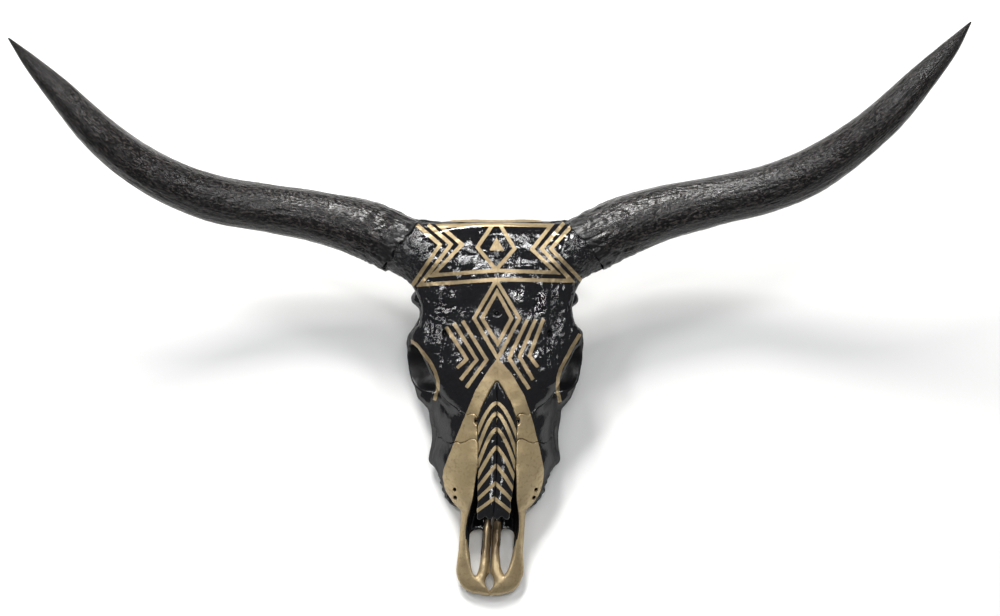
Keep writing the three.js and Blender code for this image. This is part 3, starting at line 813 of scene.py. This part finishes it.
# Chevrons along the nose: the apex's v, how far the arms drop, and how they bow.
NOSE_CHEVRONS = [(259.5, 36, 1.7), (245.5, 45, 1.6), (225.0, 46, 1.5), (200.8, 39, 1.3),
                 (176.5, 31.5, 1.15), (153.0, 23.5, 1.05), (133.0, 18.5, 1.0)]
NOSE_STROKE = 4.7
NOSE_HALF = 24.0
SIDE_BORDER = (171.5, -45.0, 0.9)  # down the cheek the gold ends along this slope


def painted_place(points):
    """Where points show on the face plane, seen from the painter's height."""
    nearer = CAMERA_DISTANCE / (CAMERA_DISTANCE - points[:, 2:])
    return (CAMERA_AIM + (points[:, :2] - CAMERA_AIM) * nearer).astype(np.float32).T


def offset(line, by):
    """The line moved sideways, its corners kept sharp."""
    points = np.array(line, float)
    forward = unit(np.diff(points, axis=0))
    first, last = (-1, 0) if line[0] == line[-1] else (0, -1)
    before, after = np.vstack((forward[first], forward)), np.vstack((forward, forward[last]))
    turn = 1 + (before * after).sum(axis=1, keepdims=True)
    moved = points + by * ((before + after) / turn)[:, ::-1] * (-1, 1)
    return [tuple(point) for point in moved]


def stroke_distance(across, along, line, width):
    left, right = offset(line, width / 2), offset(line, -width / 2)
    if line[0] != line[-1]:
        return polygon_distance(across, along, left + right[::-1])
    a = polygon_distance(across, along, left[:-1])
    b = polygon_distance(across, along, right[:-1])
    return np.maximum(np.minimum(a, -b), np.minimum(b, -a))


def gold_on_face(across, along, depth):
    best = polygon_distance(across, along, TRIANGLE)
    for line in STROKES:
        best = np.maximum(best, stroke_distance(across, along, line, STROKE))
    best = np.minimum(best, depth + STROKES_REACH)
    for line in ORBIT_STRIPES:
        stripe = stroke_distance(across, along, line, STROKE)
        reach = np.interp(along, *STRIPES_REACH)
        best = np.maximum(best, np.minimum(stripe, depth + reach))
    return best


def gold_on_nose(across, along):
    share = np.abs(across + 0.7 + snout_lean(along)) / NOSE_HALF
    best = np.full(across.shape, -1e3, np.float32)
    for apex, drop, bow in NOSE_CHEVRONS:
        off = np.abs(along - apex + drop * share ** bow)
        steepness = drop * bow * share ** (bow - 1) / NOSE_HALF
        best = np.maximum(best, NOSE_STROKE / 2 - off / np.sqrt(1 + steepness ** 2))
    return best


def gold_on_muzzle(points, across, along):
    """The muzzle is gold but for the nose's walls, the gullet and the small openings."""
    u, v, w = points.T
    x = np.abs(u + snout_lean(v))
    start, level, slope = SIDE_BORDER
    on_side = np.maximum(start - slope * (level - w) - v, w - level)
    best = np.minimum(polygon_distance(across, along, MUZZLE), on_side)
    walls = nose_opening()[0](x, v, w) - 1.6
    bars = np.minimum(11.5 - x, 98 + 5 * noise(points, 5, 33) - v)
    below = 74 - v
    shallow = np.maximum(np.minimum(below, w + 30 + 0.5 * below), below - 38)
    best = np.minimum(best, np.maximum(np.maximum(walls, bars), shallow))
    best = np.minimum(best, np.maximum(w + 66, 112 - v))
    for x0, y0, radius in FORAMINA + [NASAL_NOTCH]:
        best = np.minimum(best, np.hypot(x - x0, v - y0) - radius)
    return best


def gold_depth(kind, points, normals):
    """How far inside the gold paint a point lies, in mm; below zero it is black."""
    across, along = painted_place(points)
    w, up = points[:, 2], normals[:, 2]
    wobble = 0.25 * noise(points, 6, 31) + 0.15 * noise(points, 2.5, 32)
    if kind == "nasal":
        return np.minimum(gold_on_nose(across, along) + wobble, ramp(up, 0.1, 0.4) * 10 - 5)
    face = np.minimum(gold_on_face(across, along, w), (up - 0.05) * 12)
    crest = np.minimum(along - 500.4, 74 - np.abs(across + 2)) - 60 * (w < -24)
    muzzle = gold_on_muzzle(points, across, along)
    return np.maximum(np.maximum(muzzle, face), crest) + wobble


def bronze_shade_share(points):
    """Where the gold turns to a darker bronze, which is painted shade: on the bars between the
    palatine fissures and on the nose's inner walls, and a little all over.
    """
    u, v, w = points.T
    across = np.abs(u + BARS_LEAN)
    # The bars and the nose's inner walls darken to bronze further down: painted shade in the
    # recesses.
    bars = fade(across, 9, 18) * ramp(v, 24, 60)
    walls = ramp(-34 - w, 0, 12) * fade(across, 22, 38)
    share = np.maximum(bars * fade(w, -38, -28), 0.8 * walls)
    # Painted shade a little all over: darker at the muzzle tip and over the forehead, a little
    # less towards the poll; the noise adds random tone.
    shade_and_tone = 0.16 * fade(v, 60, 140) * (1 + 0.5 * noise(points, 14, 34))
    shade_and_tone = shade_and_tone + 0.5 * ramp(v, 270, 310) - 0.2 * ramp(v, 395, 425)
    return np.maximum(share * (0.85 + 0.3 * noise(points * (1, 0.3, 1), 4, 35)), shade_and_tone)


# ---- pieces


def to_frame(points):
    """From the skull's own frame, in mm, to the frame, in metres."""
    u, v, w = np.asarray(points, float).T
    cos, sin = math.cos(FACE_PITCH), math.sin(FACE_PITCH)
    turned = np.stack((u, v * cos - w * sin, v * sin + w * cos), axis=1)
    return (turned + FACE_ORIGIN) * MM


def make_piece(name, node, material, points, quads, attributes):
    mesh = bpy.data.meshes.new(name)
    places = np.clip(to_frame(points), *np.array(cad_box))
    mesh.from_pydata(places.tolist(), (), quads.tolist(), shade_flat=False)
    for key, values in attributes.items():
        values = np.asarray(values, np.float32)
        kind, field = ("FLOAT", "value") if values.ndim == 1 else ("FLOAT_VECTOR", "vector")
        mesh.attributes.new(key, kind, "POINT").data.foreach_set(field, values.ravel())
    mesh.validate()
    mesh.materials.append(material)
    piece = bpy.data.objects.new(name, mesh)
    bpy.context.scene.collection.objects.link(piece)
    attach(piece, "root")
    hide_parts(node)


def bone_piece(kind, side, points, quads, material):
    if side == "left":
        points, quads = points * (-1, 1, 1), quads[:, ::-1]
    normals = normals_of(points, quads)
    points = lean(points + normals * relief(kind, points, normals)[:, None])
    normals = normals_of(points, quads)
    node = f"{kind}_{side}" if side else kind
    make_piece(f"bone_{node}", node, material, points, quads,
               dict(gold=gold_depth(kind, points, normals), bronze_shade=bronze_shade_share(points),
                    gloss=gloss_of(points, normals), pitted=pitted_of(points, normals)))


def build_bones(material):
    for kind, field in part_bones().items():
        points, quads = skin(field, kind == "cranium")
        quads = facing_out(points, quads)
        for side in ("",) if kind == "cranium" else ("left", "right"):
            bone_piece(kind, side, points, quads, material)


# ---- horns

HORN_RINGS = 500
HORN_SIDES = 192


def horn_rings(rows):
    """Even rings along the sheath: distances, centres, axes, radii and the tip."""
    curve = spline(rows[:, :3])
    fine = np.linspace(SHEATH_START, SHEATH_END, 2000)
    steps = np.linalg.norm(np.diff(curve(fine), axis=0), axis=1)
    length = np.concatenate(([0], np.cumsum(steps)))
    even = np.linspace(0, length[-1], HORN_RINGS)
    share = np.interp(even, length, fine)
    centre = curve(share)
    along = unit(np.gradient(centre, axis=0))
    across = unit(np.cross(along, (0, 0, 1)))
    radius = through(range(len(rows)), rows[:, 3])(share * (len(rows) - 1)) * 0.985
    return even, centre, (along, across, np.cross(across, along)), radius, curve([0.9999])


def horn_relief(grain, s, length, seed):
    """How far the sheath stands off its smooth shape, in mm, and its cracks."""
    base, edge = fade(s, 15, 110), fade(s, 0, 9)
    line = noise(grain * (1, 1, 0.17), 5, seed + 3)
    cracked = ramp(noise(grain * (1, 1, 0.35), 17, seed + 10), -0.25, 0.45)
    cracks = hump(line, 0.08) * cracked
    rings = np.sin(s / 4.2 + 1.6 * noise(grain, 30, seed + 4))
    height = 0.3 * base * rings + 0.2 * edge - (0.7 + 0.6 * base) * cracks
    for much, lengthwise, size, n in (
            (1, 0.5, 26, 0), (0.3, 0.09, 7, 1), (0.26, 0.09, 3, 2),
            (0.24 + 0.5 * base, 0.45, 4, 11), (0.12 + 0.2 * base, 0.6, 2.6, 13),
            (0.9 * base, 1, 6.5, 5), (0.9 * edge, 1, 4.5, 7)):
        height += much * noise(grain * (1, 1, lengthwise), size, seed + n)
    return height * (1 - 0.75 * ramp(s, length - 120, length - 10)), cracks


def horn_quads(last_point):
    """Quads round the rings, and fans of quads that close the heel and the tip."""
    around = np.arange(HORN_SIDES)
    ring = 1 + np.arange(HORN_RINGS + 1)[:, None] * HORN_SIDES
    after = (around + 1) % HORN_SIDES
    walls = np.stack((ring + around, ring + after, ring + HORN_SIDES + after,
                      ring + HORN_SIDES + around), axis=-1).reshape(-1, 4)
    even = np.arange(0, HORN_SIDES, 2)
    fan = np.stack(((even + 2) % HORN_SIDES, even + 1, even), axis=1)
    heel = np.column_stack((0 * even, 1 + fan))
    tip = np.column_stack((0 * even + last_point, ring[-1] + HORN_SIDES + fan[:, ::-1]))
    return np.vstack((walls, heel, tip))


def build_horn(side, material):
    even, centre, axes, radius, tip = horn_rings(np.array(HORNS[side], float))
    angle = np.linspace(0, 2 * np.pi, HORN_SIDES, endpoint=False)
    seed = HORN_SEEDS[side]
    s, r = np.repeat(even, HORN_SIDES), np.repeat(radius, HORN_SIDES)
    t = np.tile(angle, HORN_RINGS)
    grain = np.stack((np.cos(t) * GRAIN_RADIUS, np.sin(t) * GRAIN_RADIUS, s), axis=1)
    height, cracks = horn_relief(grain, s, even[-1], seed)
    r = np.maximum(r + height * np.minimum(r / 12, 1), 0.25)

    # The open end is ragged and slants with the brow.
    round_it = grain * (1, 1, 0)
    upper = np.cos(t) * (1 if side == "left" else -1)
    ragged = 3.5 * noise(round_it, 17, seed + 8) + 1.8 * noise(round_it, 6, seed + 9)
    shift = fade(s, 0, 9) * ragged - 11 * fade(s, 0, 45) * upper
    middle, along, across, high = (np.repeat(rows, HORN_SIDES, axis=0) for rows in (centre, *axes))
    spokes = across * np.cos(t)[:, None] + high * np.sin(t)[:, None]
    outside = middle + along * shift[:, None] + spokes * r[:, None]

    # Its lip, a short inner wall and a floor.
    inwards = axes[0][0] * SHEATH_DEPTH
    lip = outside[:HORN_SIDES] - spokes[:HORN_SIDES] * SHEATH_WALL
    points = np.vstack(((centre[0] + inwards)[None], lip + inwards, lip, outside, tip))
    quads = facing_out(points, horn_quads(len(points) - 1))
    painted = fade(s + 9 * noise(grain, 14, seed + 12), 6, 34)
    hidden = 2 * HORN_SIDES + 1
    attributes = dict(
        grain=np.vstack((grain[:1], grain[:HORN_SIDES], grain[:HORN_SIDES], grain, grain[-1:])),
        root=np.concatenate((np.ones(hidden), painted, [0.0])),
        crack=np.concatenate((np.zeros(hidden), cracks, [0.0])))
    make_piece(f"sheath_{side}", f"horn_{side}", material, points, quads, attributes)


# ---- materials

BLACK_DEEP, BLACK_LIGHT = (0.0020, 0.0019, 0.0026), (0.0056, 0.0050, 0.0062)
# Thin satin black, lighter than the gloss black as a painted sheen:
BLACK_THIN_SHEEN = (0.0095, 0.0090, 0.0105)  # on the cheeks and in the eye sockets
GOLD_DULL, GOLD_LIGHT = (0.40, 0.305, 0.165), (0.48, 0.375, 0.215)
# The bronze colour is a darker gold that paints shade into the gold.
GOLD_FLECKS, SHADE_BRONZE = (0.31, 0.225, 0.115), (0.155, 0.105, 0.057)
HORN_DARK, HORN_PALE = (0.0042, 0.0037, 0.0043), (0.0090, 0.0076, 0.0080)
# The fibre and knob colours are painted highlights; the pit colour is painted shade.
HORN_BROWN, HORN_FIBRE_HIGHLIGHT = (0.013, 0.0098, 0.0086), (0.040, 0.034, 0.031)
HORN_KNOB_HIGHLIGHT, HORN_PIT_SHADE = (0.048, 0.042, 0.038), (0.0018, 0.0016, 0.0017)
HORN_CRACK, HORN_ROOT = (0.004, 0.0035, 0.003), (0.007, 0.0065, 0.007)


class Nodes:
    """A material's node tree, with short ways to add and join nodes."""

    def __init__(self, name):
        self.material = bpy.data.materials.new(name)
        self.material.use_nodes = True
        self.tree = self.material.node_tree
        self.inputs = self.tree.nodes["Principled BSDF"].inputs

    def add(self, kind, *values, **settings):
        """A node with its first inputs linked to outputs or set to values."""
        node = self.tree.nodes.new(kind)
        for key, value in settings.items():
            setattr(node, key, value)
        for value, socket in zip(values, node.inputs):
            self.put(value, socket)
        return node

    def put(self, value, socket):
        if hasattr(value, "links"):
            self.tree.links.new(value, socket)
        elif value is not None:
            socket.default_value = value

    def math(self, operation, *values, clamp=False):
        return self.add("ShaderNodeMath", *values, operation=operation,
                        use_clamp=clamp).outputs[0]

    def ranged(self, value, low, high, to_low=0.0, to_high=1.0):
        return self.add("ShaderNodeMapRange", value, low, high, to_low, to_high).outputs[0]

    def mix(self, share, first, second):
        return self.add("ShaderNodeMix", share, None, first, second,
                        data_type="FLOAT").outputs[0]

    def colour(self, share, first, second):
        first, second = ((*value, 1) if isinstance(value, tuple) else value
                         for value in (first, second))
        return self.add("ShaderNodeMix", share, *[None] * 5, first, second,
                        data_type="RGBA").outputs[2]

    def scaled(self, vector, by):
        return self.add("ShaderNodeVectorMath", vector, by, operation="MULTIPLY").outputs[0]

    def noise(self, place, scale, detail=2.0, rough=0.5):
        node = self.add("ShaderNodeTexNoise", place)
        for name, value in (("Scale", scale), ("Detail", detail), ("Roughness", rough)):
            self.put(value, node.inputs[name])
        return node.outputs["Fac"]

    def attribute(self, name, output="Fac"):
        return self.add("ShaderNodeAttribute", attribute_name=name).outputs[output]

    def bump(self, height, distance, strength=1.0, under=None):
        node = self.add("ShaderNodeBump")
        for name, value in (("Strength", strength), ("Distance", distance),
                            ("Height", height), ("Normal", under)):
            self.put(value, node.inputs[name])
        return node.outputs["Normal"]


def painted_bone():
    """Gloss black paint with gold over it, told apart by the gold attribute."""
    n = Nodes("painted_bone")
    place = n.add("ShaderNodeTexCoord").outputs["Object"]
    broad, fine, peel = n.noise(place, 28, 3), n.noise(place, 240, 3), n.noise(place, 620, 2)
    gold = n.math("MULTIPLY_ADD", n.attribute("gold"), 3.5, 0.5, clamp=True)
    gloss, bronze_shade = n.attribute("gloss"), n.attribute("bronze_shade")
    black = n.colour(n.ranged(fine, 0.35, 0.7), BLACK_DEEP, BLACK_LIGHT)
    # Where the gloss is low the black turns lighter: thin paint, with a painted sheen.
    black = n.colour(gloss, BLACK_THIN_SHEEN, black)
    gold_tone = n.colour(n.ranged(broad, 0.35, 0.65), GOLD_DULL, GOLD_LIGHT)
    gold_tone = n.colour(n.ranged(fine, 0.5, 0.75), gold_tone, GOLD_FLECKS)
    # Painted shade: the gold darkens to bronze by the bronze attribute.
    gold_tone = n.colour(bronze_shade, gold_tone, SHADE_BRONZE)
    n.put(n.colour(gold, black, gold_tone), n.inputs["Base Color"])
    black_rough = n.mix(gloss, n.ranged(broad, 0.3, 0.7, 0.42, 0.56),
                        n.ranged(broad, 0.3, 0.7, 0.04, 0.10))
    gold_rough = n.mix(bronze_shade, n.ranged(fine, 0.3, 0.7, 0.36, 0.5), 0.26)
    n.put(n.mix(gold, black_rough, gold_rough), n.inputs["Roughness"])
    n.put(n.mix(gold, 0.0, 0.6), n.inputs["Metallic"])
    n.put(n.mix(gloss, 0.05, 0.75), n.inputs["Specular IOR Level"])
    pits = n.math("MULTIPLY", n.noise(place, 330, 3, 0.6), n.attribute("pitted"))
    lumps = n.bump(fine, 0.0004, 0.5, n.bump(pits, 0.0016, 0.8))
    n.put(n.bump(peel, 0.00012, 0.4, lumps), n.inputs["Normal"])
    return n.material


def horn_sheath():
    """Dull charcoal horn with grain along it, pits, and a little polish. Its pits are darkened
    with painted shade, and its knobs and fibres are lightened with painted highlights.
    """
    n = Nodes("horn_sheath")
    grain, root = n.attribute("grain", "Vector"), n.attribute("root")
    lengthwise = n.scaled(grain, (1.0, 1.0, 0.08))
    streaks, fibres = n.noise(lengthwise, 0.4, 4, 0.6), n.noise(lengthwise, 1.0, 3, 0.6)
    patches = n.noise(grain, 0.03, 3)
    pits = n.noise(n.scaled(grain, (1.0, 1.0, 0.45)), 0.40, 1, 0.5)
    tone = n.colour(n.ranged(streaks, 0.40, 0.60), HORN_DARK, HORN_PALE)
    # Painted light among the tones: the fibre and knob colours are painted highlights, the pit
    # colour is painted shade.
    for share, colour in (
            (n.ranged(patches, 0.4, 0.7, 0.0, 0.5), HORN_BROWN),
            (n.ranged(fibres, 0.55, 0.68, 0.0, 0.3), HORN_FIBRE_HIGHLIGHT),
            (n.ranged(pits, 0.54, 0.64, 0.0, 0.8), HORN_KNOB_HIGHLIGHT),
            (n.ranged(pits, 0.48, 0.39, 0.0, 0.95), HORN_PIT_SHADE),
            (n.attribute("crack"), HORN_CRACK), (root, HORN_ROOT)):
        tone = n.colour(share, tone, colour)
    n.put(tone, n.inputs["Base Color"])
    polish = n.ranged(patches, 0.42, 0.65, 0.27, 0.17)
    polish = n.math("ADD", polish, n.ranged(fibres, 0.3, 0.7, -0.05, 0.08))
    n.put(n.mix(root, polish, 0.3), n.inputs["Roughness"])
    coarse = n.bump(pits, 0.0009, 0.8)
    n.put(n.bump(fibres, 0.0004, 0.7, coarse), n.inputs["Normal"])
    n.put(0.36, n.inputs["Specular IOR Level"])
    return n.material


def plain(name, colour, roughness):
    n = Nodes(name)
    n.put((*colour, 1), n.inputs["Base Color"])
    n.put(roughness, n.inputs["Roughness"])
    return n.material


# ---- stage

LAMP_AIM = Vector((0, 0.05, 0.15))
WHITE, COOL, WARM = (1.0, 1.0, 1.0), (0.98, 0.99, 1.0), (1.0, 0.99, 0.97)
# Name, place, size, power in watts and colour. The glints are the small lights that
# mirror in the gloss paint.
LAMPS = [
    ("key", (-0.5, 1.9, 2.1), (0.7, 0.7), 84, WARM),
    ("left", (-1.3, 1.0, 2.4), (0.4, 0.4), 22, COOL),
    ("right", (1.2, 1.2, 2.5), (0.4, 0.4), 17, COOL),
    ("flash", (0.45, 0.1, 2.5), (0.3, 0.3), 5, WHITE),
    ("horn_gleam", (-0.62, 1.31, 2.14), (0.2, 0.2), 3.5, WHITE),
    ("glint_nose", (0.12, -1.35, 2.1), (0.05, 0.3), 1.8, WHITE),
    ("glint_top", (0.07, 0.32, 2.37), (0.15, 0.26), 3.4, WHITE),
    ("glint_brow", (0.30, -0.20, 2.39), (0.10, 0.26), 2.4, WHITE),
    ("glint_right", (0.17, -0.52, 2.35), (0.06, 0.10), 1.9, WHITE),
    ("glint_left", (-0.36, -0.43, 2.35), (0.05, 0.18), 2.0, WHITE),
    ("glint_far_right", (0.72, -0.40, 2.3), (0.05, 0.4), 1.4, WHITE),
    ("glint_far_left", (-0.85, -0.40, 2.3), (0.06, 0.4), 3.6, WHITE),
]


def build_stage():
    bpy.ops.mesh.primitive_plane_add(size=14, location=(0, 0, 0))
    floor = bpy.context.object
    floor.name = "floor"
    floor.data.materials.append(plain("pale_floor", (0.80, 0.80, 0.79), 0.6))

    world = bpy.data.worlds.new("studio")
    bpy.context.scene.world = world
    world.use_nodes = True
    sky = world.node_tree.nodes["Background"]
    sky.inputs["Color"].default_value = (0.93, 0.96, 1.0, 1)
    sky.inputs["Strength"].default_value = 0.18

    for name, place, size, power, colour in LAMPS:
        light = bpy.data.lights.new(name, "AREA")
        light.shape = "RECTANGLE"
        light.size, light.size_y = size
        light.energy, light.color = power, colour
        lamp = bpy.data.objects.new(name, light)
        lamp.location = place
        lamp.rotation_euler = (LAMP_AIM - Vector(place)).to_track_quat("-Z", "Y").to_euler()
        bpy.context.scene.collection.objects.link(lamp)


def build_camera():
    lens = bpy.data.cameras.new("camera")
    lens.sensor_width = SENSOR
    lens.lens = SENSOR * CAMERA_DISTANCE / PICTURE_WIDTH
    lens.clip_end = 50
    camera = bpy.data.objects.new("camera", lens)
    camera.location = to_frame([(*CAMERA_AIM, CAMERA_DISTANCE)])[0]
    camera.rotation_euler = (FACE_PITCH, 0, 0)
    bpy.context.scene.collection.objects.link(camera)
    bpy.context.scene.camera = camera


bpy.context.scene.view_settings.view_transform = "Standard"
build_camera()
build_stage()
build_bones(painted_bone())
sheath = horn_sheath()
for horn in HORNS:
    build_horn(horn, sheath)
